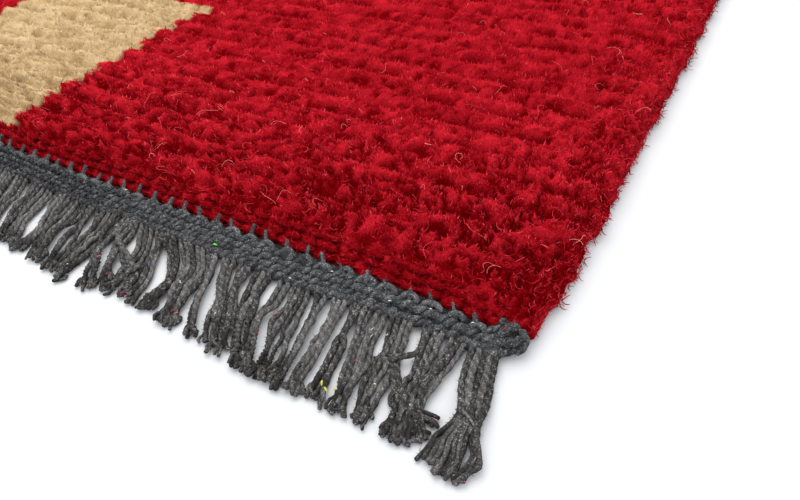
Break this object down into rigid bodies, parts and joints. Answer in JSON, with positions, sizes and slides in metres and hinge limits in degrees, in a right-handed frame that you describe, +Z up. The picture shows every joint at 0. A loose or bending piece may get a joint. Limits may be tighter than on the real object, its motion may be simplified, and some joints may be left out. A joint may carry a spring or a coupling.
{
  "type": "hand-knotted wool rug",
  "caption": "Rectangular wool rug with a thick ribbed pile, oversewn sides, and a twined band with a corded fringe at each end.",
  "frame": {"origin": "on the floor, under the middle of the rug", "axes": "+X across the rug, +Y along its length away from the front fringe, +Z up out of the pile"},
  "size_m": [0.907, 1.5028, 0.0197],
  "materials": {
    "red_wool_pile": "matt cut wool pile, red with a tan block at the middle of each end",
    "dark_red_yarn": "matt wool yarn",
    "grey_yarn": "matt plied yarn with small coloured flecks"
  },
  "bodies": {
    "root": {"pile": "red_wool_pile", "side_binding_left": "dark_red_yarn", "side_binding_right": "dark_red_yarn", "fringe_front": "grey_yarn", "fringe_back": "grey_yarn"}
  },
  "joints": []
}
